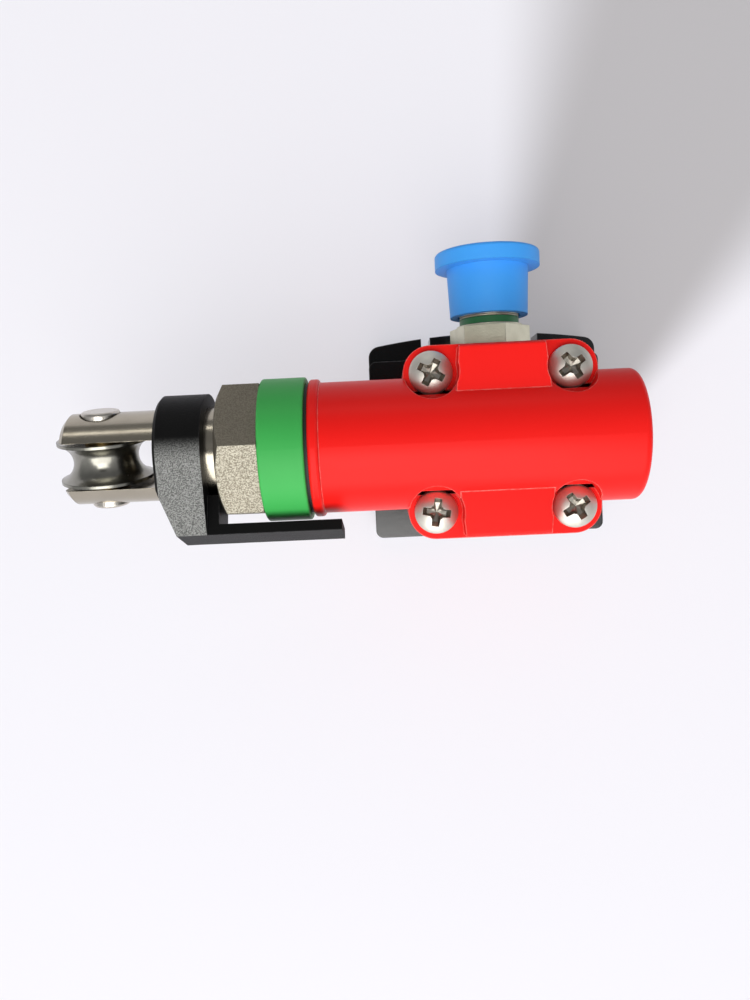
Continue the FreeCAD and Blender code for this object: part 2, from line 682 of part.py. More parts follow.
def make_base():
    """Moulded base: a squared rim on a body that bows out under the connector."""
    body = new_body("switch_base")
    pad(body, "XY_Plane", "0", "base_height", box_of("-" + BASE_WEST, BASE_EAST, "-body_width / 2 - south_margin",
                                                     "body_width / 2 - north_inset"))
    doc.recompute()
    side = size("body_width") / 2
    west = -size("body_length") / 2 - size("west_margin")
    east = size("body_length") / 2 + size("east_margin")
    corners = [name for reach_x in (-west, east) for reach_y in (side + size("south_margin"), side - size("north_inset"))
               for name in uprights(body.Tip.Shape, reach_x, reach_y)]
    soften(body, corners, "base_corner")
    sketch = new_sketch(body, "XY_Plane")
    south, north = 0.0, side + size("shoulder_margin")
    middle = FreeCAD.Vector((west + east) / 2, north + size("base_bow"), 0)
    south_west, south_east = FreeCAD.Vector(west, south, 0), FreeCAD.Vector(east, south, 0)
    north_west, north_east = FreeCAD.Vector(west, north, 0), FreeCAD.Vector(east, north, 0)
    sketch.addGeometry(Part.LineSegment(south_west, south_east), False)
    sketch.addGeometry(Part.LineSegment(south_east, north_east), False)
    sketch.addGeometry(Part.Arc(north_east, middle, north_west), False)
    sketch.addGeometry(Part.LineSegment(north_west, south_west), False)
    for one, two in ((0, 1), (1, 2), (2, 3), (3, 0)):
        sketch.addConstraint(Sketcher.Constraint("Coincident", one, 2, two, 1))
    pin_point(sketch, 0, 1, "-" + BASE_WEST, "0", (west, south))
    pin_point(sketch, 1, 1, BASE_EAST, "0", (east, south))
    pin_point(sketch, 2, 1, BASE_EAST, BASE_SHOULDER, (east, north))
    pin_point(sketch, 3, 1, "-" + BASE_WEST, BASE_SHOULDER, (west, north))
    chord = "((%s + %s) / 2)" % (BASE_WEST, BASE_EAST)
    bow = sketch.addConstraint(Sketcher.Constraint("Radius", 2, sketch.Geometry[2].Radius))
    sketch.setExpression("Constraints[%d]" % bow,
                         tied("(%s * %s + base_bow * base_bow) / (2 * base_bow)" % (chord, chord)))
    feature(body, "Pad", sketch, Length="base_height - rim_height")
    doc.recompute()
    corners = uprights(body.Tip.Shape, -west, north) + uprights(body.Tip.Shape, east, north)
    soften(body, corners, "shoulder_corner")
    for place_x in ("-notch_west", "notch_east"):
        cut(body, "XY_Plane", "base_height - rim_height", "base_height",
            box_of(place_x + " - notch_width / 2", place_x + " + notch_width / 2",
                   BASE_SHOULDER + " + base_bow - notch_depth - past_edge", BASE_SHOULDER + " + base_bow + past_edge"))
    for draw in cavity_boxes():
        cut(body, "XY_Plane", "base_height", "base_height - base_floor", draw)
    cut(body, "XY_Plane", "base_height", "insert_length",
        at_screws(lambda sketch, x, y: circle(sketch, x, y, "insert_radius")))

    def mount_holes(sketch):
        for sign in ("-", "+"):
            circle(sketch, "%s (body_length / 2 + mount_margin) - mount_centre" % sign, "0", "mount_insert_radius")
    cut(body, "XY_Plane", "0", "mount_depth", mount_holes, reverse=True)
    place(body)

    body = new_body("base_gasket")
    reach_x = "(body_length / 2 - gasket_inset)"
    reach_y = "(body_width / 2 - gasket_inset)"
    pad(body, "XY_Plane", "base_height", "gasket_thick", box_of("-" + reach_x, reach_x, "-" + reach_y, reach_y))
    doc.recompute()
    soften(body, uprights(body.Tip.Shape, size("body_length") / 2 - size("gasket_inset"),
                          size("body_width") / 2 - size("gasket_inset")), "lug_radius - gasket_inset")
    for draw in cavity_boxes():
        cut(body, "XY_Plane", "base_height", "gasket_thick", draw, reverse=True)
    cut_through(body, "XY_Plane", at_screws(lambda sketch, x, y: circle(sketch, x, y, "screw_hole")))
    place(body)


def make_fasteners():
    """Four cover screws with their inserts, and the two inserts under the base."""
    seat = "(%s + seat_rise)" % AXIS
    length = "(seat_rise + parting_drop + gasket_thick + screw_bite)"
    for number, (x_sign, y_sign) in enumerate(CORNERS, start=1):
        x = "%d * %s" % (x_sign, SCREW_X)
        y = "%d * %s" % (y_sign, SCREW_Y)
        body = new_body("cover_screw_%d" % number)
        turn(body, [("0", "-" + length), ("screw_radius", "-" + length), ("screw_radius", "0"),
                    ("head_radius", "0"), ("head_radius", "head_height"), ("0", "head_height")],
             "XZ_Plane", "V_Axis")
        doc.recompute()
        soften(body, rims(body.Tip.Shape, "z", size("head_height"), size("head_radius")), "head_round")
        long, thin = "cross_length / 2", "cross_width / 2"
        cut(body, "XY_Plane", "head_height", "cross_depth", lambda sketch: outline(sketch, [
            (long, "-" + thin), (long, thin), (thin, thin), (thin, long), ("-" + thin, long), ("-" + thin, thin),
            ("-" + long, thin), ("-" + long, "-" + thin), ("-" + thin, "-" + thin), ("-" + thin, "-" + long),
            (thin, "-" + long), (thin, "-" + thin)]))
        place(body, x, y, seat, angle=RECESS_TURNS[(x_sign, y_sign)], about="z")

        body = new_body("base_insert_%d" % number)
        turn(body, [("screw_radius + thread_gap", "base_height - insert_length"),
                    ("insert_radius", "base_height - insert_length"), ("insert_radius", "base_height"),
                    ("screw_radius + thread_gap", "base_height")], "XZ_Plane", "V_Axis")
        place(body, x, y)
    for number, sign in ((1, "-"), (2, "+")):
        body = new_body("mount_insert_%d" % number)
        turn(body, [("mount_bore", "0"), ("mount_insert_radius", "0"), ("mount_insert_radius", "mount_depth"),
                    ("mount_bore", "mount_depth")], "XZ_Plane", "V_Axis")
        place(body, "%s (body_length / 2 + mount_margin) - mount_centre" % sign)


def make_connector():
    """Round plug connector screwed into the north wall, with its seal ring, carrier and pins."""
    wall = "(body_width / 2)"
    lip = "(%s + connector_hex_length)" % wall
    groove = "(%s + connector_flange)" % lip
    tip = "(%s + connector_reach)" % wall
    body = new_body("connector_shell")
    pad(body, "XZ_Plane", "-" + lip, "connector_hex_length",
        lambda sketch: hexagon(sketch, "connector_hex", False))
    turn(body, [("0", wall + " - connector_bite"), ("connector_thread", wall + " - connector_bite"),
                ("connector_thread", lip), ("connector_thread + flange_lip", lip),
                ("connector_thread + flange_lip", groove),
                ("connector_thread - ring_depth", groove), ("connector_thread - ring_depth", groove + " + ring_groove"),
                ("connector_thread", groove + " + ring_groove"),
                ("connector_thread", tip + " - thread_chamfer"), ("connector_thread - thread_chamfer", tip),
                ("0", tip)], "XY_Plane", "V_Axis")
    turn(body, [("0", "0"), ("connector_inside", "0"), ("connector_inside", tip + " + past_edge"),
                ("0", tip + " + past_edge")], "XY_Plane", "V_Axis", kind="Groove")
    place(body, z=AXIS + " - connector_drop", angle="connector_turn", about="y")

    body = new_body("connector_seal")
    near = groove + " + seal_play"
    far = groove + " + ring_groove - seal_play"
    turn(body, [("connector_thread - ring_depth", near), ("connector_thread + fit_gap", near),
                ("connector_thread + fit_gap", far), ("connector_thread - ring_depth", far)], "XY_Plane", "V_Axis")
    place(body, z=AXIS + " - connector_drop")

    pin_spots = [("pin_circle", "0"), ("-pin_circle", "0"), ("0", "pin_circle"), ("0", "-pin_circle")]
    back = wall + " - connector_bite + carrier_back"
    body = new_body("connector_carrier")
    face = wall + " + insert_face"
    turn(body, [("0", back), ("connector_inside", back), ("connector_inside", face), ("0", face)],
         "XY_Plane", "V_Axis")

    def pin_holes(sketch):
        for x, y in pin_spots:
            circle(sketch, x, y, "pin_thin")
    cut_through(body, "XZ_Plane", pin_holes)
    place(body, z=AXIS + " - connector_drop")

    for number, (x, y) in enumerate(pin_spots, start=1):
        body = new_body("connector_pin_%d" % number)
        pad(body, "XZ_Plane", "-%s - pin_tip" % wall, "%s + pin_tip - (%s) + pin_tail" % (wall, back),
            disc_of(x, y, "pin_thin"))
        place(body, z=AXIS + " - connector_drop")


def make_cap():
    """Soft push-on dust cap with a pull flange."""
    body = new_body("dust_cap")
    mouth = "(body_width / 2 + cap_stand)"
    top = "(%s + cap_length)" % mouth
    turn(body, [("cap_bore", mouth), ("cap_neck", mouth), ("cap_waist", top + " - cap_flange_thick"),
                ("cap_flange", top + " - cap_flange_thick"), ("cap_flange", top), ("0", top),
                ("0", top + " - cap_roof"), ("cap_bore", top + " - cap_roof")], "XY_Plane", "V_Axis")
    doc.recompute()
    reach = size("body_width") / 2 + size("cap_stand") + size("cap_length")
    soften(body, rims(body.Tip.Shape, "y", reach, size("cap_flange")), "cap_round")
    place(body, z=AXIS + " - connector_drop")


make_casting()
make_gland()
make_mouth_rings()
make_rod()
make_pin()
make_pulley()
make_pointer()
make_shaft_parts()
make_plunger()
make_base()
make_fasteners()
make_connector()
make_cap()
doc.recompute()

for item in doc.Objects:
    if "Invalid" in item.State or "Error" in item.State:
        raise RuntimeError("%s did not build: %s" % (item.Name, item.State))
for piece in pieces:
    if piece.Shape.isNull() or not piece.Shape.isValid() or len(piece.Shape.Solids) != 1:
        raise RuntimeError("%s has no sound single solid" % piece.Label)

os.makedirs("parts", exist_ok=True)
for piece in pieces:
    piece.Shape.exportStep("parts/%s.step" % piece.Label)
    print("%-18s %9.1f mm3" % (piece.Label, piece.Shape.Volume))
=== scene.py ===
"""Looks of the rope pull switch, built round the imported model, piece by piece as it goes together."""
import json
import math

import bpy
from mathutils import Matrix, Vector

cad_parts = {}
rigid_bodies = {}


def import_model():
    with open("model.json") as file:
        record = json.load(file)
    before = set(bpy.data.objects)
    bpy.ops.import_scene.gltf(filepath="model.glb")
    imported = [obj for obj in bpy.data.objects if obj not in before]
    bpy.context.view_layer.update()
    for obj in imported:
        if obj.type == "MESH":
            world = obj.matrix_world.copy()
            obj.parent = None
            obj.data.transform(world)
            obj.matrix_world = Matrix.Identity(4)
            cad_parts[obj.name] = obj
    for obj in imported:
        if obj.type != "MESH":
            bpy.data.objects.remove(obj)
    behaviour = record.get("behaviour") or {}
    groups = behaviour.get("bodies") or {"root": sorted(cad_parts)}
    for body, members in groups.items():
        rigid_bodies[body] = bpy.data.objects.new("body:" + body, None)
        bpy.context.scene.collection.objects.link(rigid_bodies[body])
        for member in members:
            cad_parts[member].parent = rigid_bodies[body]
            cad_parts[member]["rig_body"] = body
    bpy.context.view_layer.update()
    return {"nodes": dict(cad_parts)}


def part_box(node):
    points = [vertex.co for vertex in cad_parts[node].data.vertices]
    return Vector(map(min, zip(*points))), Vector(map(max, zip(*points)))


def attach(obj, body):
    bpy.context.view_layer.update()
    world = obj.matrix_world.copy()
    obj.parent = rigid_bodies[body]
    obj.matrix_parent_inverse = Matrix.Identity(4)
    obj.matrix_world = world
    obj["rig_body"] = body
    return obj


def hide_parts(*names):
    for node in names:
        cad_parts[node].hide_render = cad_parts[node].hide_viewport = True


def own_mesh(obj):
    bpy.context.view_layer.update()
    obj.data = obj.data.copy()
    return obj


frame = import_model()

MM = 0.001


# Red body: one die casting, blasted, primed and powder coated in signal red.
# The coat is smooth and fairly glossy, with a faint orange peel; its sharp edges get a painted highlight in a lighter
# red.
def finish(name, **sockets):
    """A new material and its shader, with plain values set on the shader's own sockets."""
    material = bpy.data.materials.new(name)
    material.use_nodes = True
    shader = material.node_tree.nodes["Principled BSDF"]
    for socket, value in sockets.items():
        shader.inputs[socket.replace("_", " ")].default_value = value
    return material, material.node_tree, shader


def effect(name, inputs, outputs):
    """An empty shader node group with named inputs and outputs."""
    group = bpy.data.node_groups.new(name, "ShaderNodeTree")
    for label, kind, value in inputs:
        socket = group.interface.new_socket(label, in_out="INPUT", socket_type=kind)
        socket.default_value = value
    for label, kind in outputs:
        group.interface.new_socket(label, in_out="OUTPUT", socket_type=kind)
    return group, group.nodes.new("NodeGroupInput"), group.nodes.new("NodeGroupOutput")


def place_effect(tree, group, **values):
    node = tree.nodes.new("ShaderNodeGroup")
    node.node_tree = group
    for label, value in values.items():
        node.inputs[label.replace("_", " ")].default_value = value
    return node


def dress(material, *names):
    """Give CAD nodes their finished material."""
    for name in names:
        mesh = frame["nodes"][name].data
        mesh.materials.clear()
        mesh.materials.append(material)


def math_node(tree, kind, first, second):
    node = tree.nodes.new("ShaderNodeMath")
    node.operation = kind
    for socket, value in zip(node.inputs, (first, second)):
        if isinstance(value, bpy.types.NodeSocket):
            tree.links.new(value, socket)
        else:
            socket.default_value = value
    return node.outputs[0]


# surface drift: slow changes of tone and gloss, as any moulded or coated face has
drift, drift_in, drift_out = effect(
    "surface_drift",
    [("Tone", "NodeSocketColor", (0.5, 0.5, 0.5, 1)), ("Second Tone", "NodeSocketColor", (0.4, 0.4, 0.4, 1)),
     ("Scale", "NodeSocketFloat", 60.0), ("Gloss", "NodeSocketFloat", 0.3), ("Gloss Spread", "NodeSocketFloat", 0.06)],
    [("Color", "NodeSocketColor"), ("Roughness", "NodeSocketFloat")])
place_of = drift.nodes.new("ShaderNodeTexCoord")
cloud = drift.nodes.new("ShaderNodeTexNoise")
cloud.inputs["Detail"].default_value = 5
blend = drift.nodes.new("ShaderNodeMix")
blend.data_type = "RGBA"
drift.links.new(place_of.outputs["Object"], cloud.inputs["Vector"])
drift.links.new(drift_in.outputs["Scale"], cloud.inputs["Scale"])
drift.links.new(cloud.outputs["Fac"], blend.inputs["Factor"])
drift.links.new(drift_in.outputs["Tone"], blend.inputs["A"])
drift.links.new(drift_in.outputs["Second Tone"], blend.inputs["B"])
drift.links.new(blend.outputs["Result"], drift_out.inputs["Color"])
centred = math_node(drift, "SUBTRACT", cloud.outputs["Fac"], 0.5)
spread = math_node(drift, "MULTIPLY", centred, drift_in.outputs["Gloss Spread"])
gloss = math_node(drift, "ADD", spread, drift_in.outputs["Gloss"])
drift.links.new(gloss, drift_out.inputs["Roughness"])

# grain: a fine height field for coats, spark-eroded moulds and blasted metal
grain, grain_in, grain_out = effect(
    "fine_grain",
    [("Scale", "NodeSocketFloat", 1000.0), ("Contrast", "NodeSocketFloat", 1.0)],
    [("Height", "NodeSocketFloat"), ("Mask", "NodeSocketFloat")])
place_of = grain.nodes.new("ShaderNodeTexCoord")
fine = grain.nodes.new("ShaderNodeTexNoise")
fine.inputs["Detail"].default_value = 2
grain.links.new(place_of.outputs["Object"], fine.inputs["Vector"])
grain.links.new(grain_in.outputs["Scale"], fine.inputs["Scale"])
height = math_node(grain, "MULTIPLY", fine.outputs["Fac"], grain_in.outputs["Contrast"])
grain.links.new(height, grain_out.inputs["Height"])
steep = grain.nodes.new("ShaderNodeMapRange")
steep.inputs["From Min"].default_value = 0.42
steep.inputs["From Max"].default_value = 0.58
grain.links.new(fine.outputs["Fac"], steep.inputs["Value"])
grain.links.new(steep.outputs["Result"], grain_out.inputs["Mask"])


# painted edge light: near sharp edges the tone is mixed towards a second colour, lighter for a painted edge highlight,
# darker for painted dark reflections and painted shade
edge_light, edge_light_in, edge_light_out = effect(
    "painted_edge_light",
    [("Tone", "NodeSocketColor", (0.5, 0.5, 0.5, 1)), ("Bare", "NodeSocketColor", (0.8, 0.8, 0.8, 1)),
     ("Width", "NodeSocketFloat", 0.2 * MM), ("Amount", "NodeSocketFloat", 0.5)],
    [("Color", "NodeSocketColor")])
rounded = edge_light.nodes.new("ShaderNodeBevel")
rounded.samples = 4
edge_light.links.new(edge_light_in.outputs["Width"], rounded.inputs["Radius"])
surface = edge_light.nodes.new("ShaderNodeNewGeometry")
alike = edge_light.nodes.new("ShaderNodeVectorMath")
alike.operation = "DOT_PRODUCT"
edge_light.links.new(rounded.outputs["Normal"], alike.inputs[0])
edge_light.links.new(surface.outputs["Normal"], alike.inputs[1])
near_edge = edge_light.nodes.new("ShaderNodeMapRange")
near_edge.inputs["From Min"].default_value = 0.01
near_edge.inputs["From Max"].default_value = 0.10
edge_light.links.new(math_node(edge_light, "SUBTRACT", 1.0, alike.outputs["Value"]), near_edge.inputs["Value"])
speckle = place_effect(edge_light, grain, Scale=900.0)
patchy = math_node(edge_light, "ADD", math_node(edge_light, "MULTIPLY", speckle.outputs["Mask"], 0.5), 0.5)
share = math_node(edge_light, "MULTIPLY", math_node(edge_light, "MULTIPLY", near_edge.outputs["Result"], patchy),
                  edge_light_in.outputs["Amount"])
edge_light_mix = edge_light.nodes.new("ShaderNodeMix")
edge_light_mix.data_type = "RGBA"
edge_light.links.new(share, edge_light_mix.inputs["Factor"])
edge_light.links.new(edge_light_in.outputs["Tone"], edge_light_mix.inputs["A"])
edge_light.links.new(edge_light_in.outputs["Bare"], edge_light_mix.inputs["B"])
edge_light.links.new(edge_light_mix.outputs["Result"], edge_light_out.inputs["Color"])


def drifting(name, tone, second, scale, gloss, gloss_spread, grain_scale, grain_depth, edge=0.12,
             edge_light_tone=None, edge_light_amount=0.5, edge_light_width=0.2, **sockets):
    """A material whose tone and gloss drift, with fine grain and softly broken edges, and painted edge light in the
    edge tone when one is given.
    """
    material, tree, shader = finish(name, **sockets)
    slow = place_effect(tree, drift, Tone=(*tone, 1), Second_Tone=(*second, 1), Scale=scale,
                        Gloss=gloss, Gloss_Spread=gloss_spread)
    tree.links.new(slow.outputs["Color"], shader.inputs["Base Color"])
    if edge_light_tone:
        edges = place_effect(tree, edge_light, Bare=(*edge_light_tone, 1), Width=edge_light_width * MM, Amount=edge_light_amount)
        tree.links.new(slow.outputs["Color"], edges.inputs["Tone"])
        tree.links.new(edges.outputs["Color"], shader.inputs["Base Color"])
    tree.links.new(slow.outputs["Roughness"], shader.inputs["Roughness"])
    peel = place_effect(tree, grain, Scale=grain_scale)
    bump = tree.nodes.new("ShaderNodeBump")
    bump.inputs["Distance"].default_value = grain_depth * MM
    tree.links.new(peel.outputs["Height"], bump.inputs["Height"])
    if edge:
        broken = tree.nodes.new("ShaderNodeBevel")
        broken.samples = 4
        broken.inputs["Radius"].default_value = edge * MM
        tree.links.new(broken.outputs["Normal"], bump.inputs["Normal"])
    tree.links.new(bump.outputs["Normal"], shader.inputs["Normal"])
    return material, tree, shader


# painted edge highlight: the red coat's sharp edges are mixed towards a lighter red
red, red_tree, red_shader = drifting(
    "red_coat", (0.88, 0.014, 0.011), (0.83, 0.011, 0.009), 45.0, 0.34, 0.05, 900.0, 0.010, edge=0.35,
    edge_light_tone=(1.0, 0.34, 0.30), edge_light_amount=0.9, edge_light_width=0.32, Specular_IOR_Level=0.12)
dress(red, "housing_casting")

# The casting's bore has a thin wall behind each screw pocket, coated like the rest.
WALL_INSIDE, WALL_OUTSIDE, WALL_HALF = 9.85 * MM, 10.25 * MM, 4.2 * MM
WALL_START, WALL_END, WALL_STEPS = math.radians(29), math.radians(42), 8
bore_height = sum(corner.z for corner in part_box("hex_gland")) / 2
for number in range(1, 5):
    screw_low, screw_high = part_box("cover_screw_%d" % number)
    screw_middle = (screw_low + screw_high) / 2
    side = 1 if screw_middle.y > 0 else -1
    corners = []
    for step in range(WALL_STEPS + 1):
        angle = WALL_START + (WALL_END - WALL_START) * step / WALL_STEPS
        for radius in (WALL_INSIDE, WALL_OUTSIDE):
            for end in (-WALL_HALF, WALL_HALF):
                corners.append((screw_middle.x + end, side * radius * math.cos(angle),
                                bore_height + radius * math.sin(angle)))
    walls = [[0, 1, 3, 2], [4 * WALL_STEPS + n for n in (0, 2, 3, 1)]]
    for step in range(WALL_STEPS):
        near, far = 4 * step, 4 * step + 4
        for first, second in ((0, 1), (1, 3), (3, 2), (2, 0)):
            walls.append([near + second, near + first, far + first, far + second])
    wall_mesh = bpy.data.meshes.new("pocket_wall_%d" % number)
    wall_mesh.from_pydata(corners, [], walls)
    wall_mesh.materials.append(red)
    pocket_wall = bpy.data.objects.new("pocket_wall_%d" % number, wall_mesh)
    bpy.context.scene.collection.objects.link(pocket_wall)
    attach(pocket_wall, "housing")


# Black base: glass-filled nylon moulding with a glossy skin, closed against the casting by a thin
# rubber gasket; brass inserts are moulded in for the cover screws and for the mounting screws.
# painted edge highlight: grey light lines along the base's sharp edges
base_black, base_tree, base_shader = drifting(
    "base_black", (0.005, 0.006, 0.006), (0.009, 0.010, 0.010), 70.0, 0.14, 0.06, 500.0, 0.008, edge=0.4,
    edge_light_tone=(0.30, 0.31, 0.31), edge_light_amount=0.55, edge_light_width=0.22, Specular_IOR_Level=0.75)
dress(base_black, "switch_base")
rubber, rubber_tree, rubber_shader = drifting(
    "black_rubber", (0.018, 0.018, 0.018), (0.028, 0.027, 0.026), 200.0, 0.62, 0.1, 1800.0, 0.02)
dress(rubber, "base_gasket", "mouth_seal_ring", "rod_wiper", "plunger_seal")
brass, brass_tree, brass_shader = drifting(
    "turned_brass", (0.72, 0.50, 0.20), (0.62, 0.42, 0.16), 300.0, 0.28, 0.1, 2500.0, 0.01, Metallic=1.0)
dress(brass, "mount_insert_1", "mount_insert_2", "fixed_contact_1", "fixed_contact_2", "contact_bridge",
      "pulley_bush", *["base_insert_%d" % n for n in range(1, 5)], *["connector_pin_%d" % n for n in range(1, 5)])


# Inner parts: contact block and plunger moulded in pale plastic, springs, washer, seat, clip and cam
# of plated steel. Both springs stand on a fixed end; each is shown by a fixed copy of its mesh on the housing, which
# does not shorten.
pale, pale_tree, pale_shader = drifting(
    "pale_moulding", (0.70, 0.69, 0.64), (0.62, 0.61, 0.57), 120.0, 0.45, 0.08, 1500.0, 0.01)
dress(pale, "contact_block", "contact_plunger")
plated, plated_tree, plated_shader = drifting(
    "plated_steel", (0.62, 0.61, 0.58), (0.52, 0.51, 0.48), 250.0, 0.3, 0.12, 2600.0, 0.01, Metallic=1.0)
dress(plated, "return_spring", "plunger_spring", "spring_washer", "spring_seat", "cam_sleeve", "rod_end_clip")
for name, node, joint, along in (("return_coil", "return_spring", "rod_slide", (1, 0, 0)),
                                 ("plunger_coil", "plunger_spring", "plunger_slide", (0, 0, 1))):
    coil = bpy.data.objects.new(name, frame["nodes"][node].data.copy())
    bpy.context.scene.collection.objects.link(coil)
    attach(coil, "housing")
    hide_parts(node)
    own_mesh(coil)


# Gland: hexagon bar, drilled and threaded, then blasted and nickel plated, with a fine grain; the flats turned to the
# light get bright painted specks and its edges a lighter painted edge highlight. It is screwed into the mouth of the
# tube.
blasted, blasted_tree, blasted_shader = drifting(
    "blasted_nickel", (0.24, 0.215, 0.165), (0.18, 0.16, 0.125), 150.0, 0.56, 0.1, 3400.0, 0.12, edge=0.2,
    edge_light_tone=(0.62, 0.60, 0.52), edge_light_amount=0.5, edge_light_width=0.15, Metallic=1.0)
dress(blasted, "hex_gland")

# painted sheen: faces turned towards the light direction (0, -0.34, 0.94) get their tone mixed towards a lighter
# colour in fine specks, a painted highlight
lit_sheen, lit_sheen_in, lit_sheen_out = effect(
    "painted_lit_sheen",
    [("Dark", "NodeSocketColor", (0, 0, 0, 1)), ("Light", "NodeSocketColor", (1, 1, 1, 1)),
     ("Scale", "NodeSocketFloat", 4200.0), ("Even", "NodeSocketFloat", 0.3), ("Specks", "NodeSocketFloat", 0.7),
     ("From", "NodeSocketFloat", 0.9), ("To", "NodeSocketFloat", 0.99)],
    [("Color", "NodeSocketColor")])
facing = lit_sheen.nodes.new("ShaderNodeNewGeometry")
towards = lit_sheen.nodes.new("ShaderNodeVectorMath")
towards.operation = "DOT_PRODUCT"
towards.inputs[1].default_value = Vector((0.0, -0.34, 0.94)).normalized()
lit_sheen.links.new(facing.outputs["Normal"], towards.inputs[0])
lit = lit_sheen.nodes.new("ShaderNodeMapRange")
lit.interpolation_type = "SMOOTHSTEP"
lit_sheen.links.new(towards.outputs["Value"], lit.inputs["Value"])
lit_sheen.links.new(lit_sheen_in.outputs["From"], lit.inputs["From Min"])
lit_sheen.links.new(lit_sheen_in.outputs["To"], lit.inputs["From Max"])
salt = place_effect(lit_sheen, grain)
lit_sheen.links.new(lit_sheen_in.outputs["Scale"], salt.inputs["Scale"])
specks = math_node(lit_sheen, "MULTIPLY", salt.outputs["Mask"], lit_sheen_in.outputs["Specks"])
amount = math_node(lit_sheen, "MULTIPLY", lit.outputs["Result"], math_node(lit_sheen, "ADD", specks, lit_sheen_in.outputs["Even"]))
fading = lit_sheen.nodes.new("ShaderNodeMix")
fading.data_type = "RGBA"
lit_sheen.links.new(amount, fading.inputs["Factor"])
lit_sheen.links.new(lit_sheen_in.outputs["Dark"], fading.inputs["A"])
lit_sheen.links.new(lit_sheen_in.outputs["Light"], fading.inputs["B"])
lit_sheen.links.new(fading.outputs["Result"], lit_sheen_out.inputs["Color"])


def painted_sheen_specks(tree, shader, light, **values):
    """Put painted sheen specks, lighter on faces turned to the light, over the tone that a shader already has."""
    sheen_node = place_effect(tree, lit_sheen, Light=(*light, 1), **values)
    tree.links.new(shader.inputs["Base Color"].links[0].from_socket, sheen_node.inputs["Dark"])
    tree.links.new(sheen_node.outputs["Color"], shader.inputs["Base Color"])


# painted highlight: the gland's flats turned to the light get bright painted specks
painted_sheen_specks(blasted_tree, blasted_shader, (0.50, 0.475, 0.39), Scale=3800.0, Even=0.0, Specks=0.8, From=0.40, To=0.97)


# Indicator ring: moulded green plastic with a satin face, slipped on behind the gland.
# The pointer's arm reads against it.
# painted edge highlight: the ring's sharp edges are mixed towards a lighter green
green, green_tree, green_shader = drifting(
    "indicator_green", (0.055, 0.43, 0.090), (0.045, 0.38, 0.078), 80.0, 0.42, 0.08, 1600.0, 0.010, edge=0.2,
    edge_light_tone=(0.25, 0.62, 0.28), edge_light_amount=0.35, Specular_IOR_Level=0.18)
dress(green, "indicator_ring")


# Pull rod and pulley: turned stainless steel, the fork milled and polished, the groove rubbed by rope.
# The pulley turns on a pin that is riveted over at both ends.
# painted dark reflection: the rod's sharp edges are darkened
polished, polished_tree, polished_shader = drifting(
    "polished_steel", (0.46, 0.42, 0.34), (0.32, 0.29, 0.23), 160.0, 0.20, 0.10, 2000.0, 0.006, edge=0.2,
    edge_light_tone=(0.10, 0.09, 0.075), edge_light_amount=0.75, edge_light_width=0.25, Metallic=1.0)
dress(polished, "pull_rod")
# painted dark reflection: the pulley's sharp edges are darkened
rubbed, rubbed_tree, rubbed_shader = drifting(
    "rubbed_steel", (0.40, 0.39, 0.34), (0.17, 0.165, 0.145), 260.0, 0.24, 0.16, 2400.0, 0.010, edge=0.25,
    edge_light_tone=(0.07, 0.065, 0.06), edge_light_amount=0.85, edge_light_width=0.3, Metallic=1.0)
dress(rubbed, "rope_pulley")
pin_steel, pin_tree, pin_shader = drifting(
    "riveted_pin", (0.62, 0.58, 0.52), (0.50, 0.47, 0.42), 300.0, 0.28, 0.12, 2600.0, 0.03, edge=0.1, Metallic=1.0)
dress(pin_steel, "pulley_pin")


# Tension pointer: black nylon from a spark-eroded mould with a fine grain; faces turned to the light get grey painted
# specks and a painted sheen, and its edges a grey painted highlight.
# Its collar is snapped on the rod and turns with it.
nylon, nylon_tree, nylon_shader = drifting(
    "pointer_nylon", (0.004, 0.004, 0.004), (0.007, 0.007, 0.007), 120.0, 0.46, 0.08, 3600.0, 0.07, edge=0.25,
    edge_light_tone=(0.12, 0.12, 0.12), edge_light_amount=0.6, edge_light_width=0.2, Specular_IOR_Level=0.09)
# painted sheen: grey specks and an even lightening on the faces turned to the light
painted_sheen_specks(nylon_tree, nylon_shader, (0.36, 0.365, 0.35), Scale=4600.0, Even=0.28, Specks=0.6, From=0.80, To=0.995)
dress(nylon, "tension_pointer")


# Cover screws: pan-head machine screws, cold headed with a low dome, zinc plated.
# The cross recess is punched with leaning walls; it takes a darker material, painted shade, with darker painted edges.
SCREW_LENGTH = 31.8
RECESS_TURN = {(-1, 1): 61, (1, 1): 34, (-1, -1): 81, (1, -1): 31}
# painted edge highlight: the screw head's sharp edges are lightened
screw_steel, screw_tree, screw_shader = drifting(
    "screw_plating", (0.80, 0.78, 0.71), (0.58, 0.56, 0.49), 380.0, 0.50, 0.16, 2600.0, 0.02, edge=0.12,
    edge_light_tone=(0.85, 0.83, 0.76), edge_light_amount=0.5, edge_light_width=0.12, Metallic=1.0)
# painted shade: the cross recess gets a darker steel, its edges darker still
recess_shade_steel, recess_tree, recess_shader = drifting(
    "screw_recess_shade", (0.46, 0.43, 0.37), (0.22, 0.20, 0.17), 900.0, 0.34, 0.16, 2600.0, 0.03, edge=0.08,
    edge_light_tone=(0.05, 0.045, 0.04), edge_light_amount=0.85, edge_light_width=0.16, Metallic=1.0)


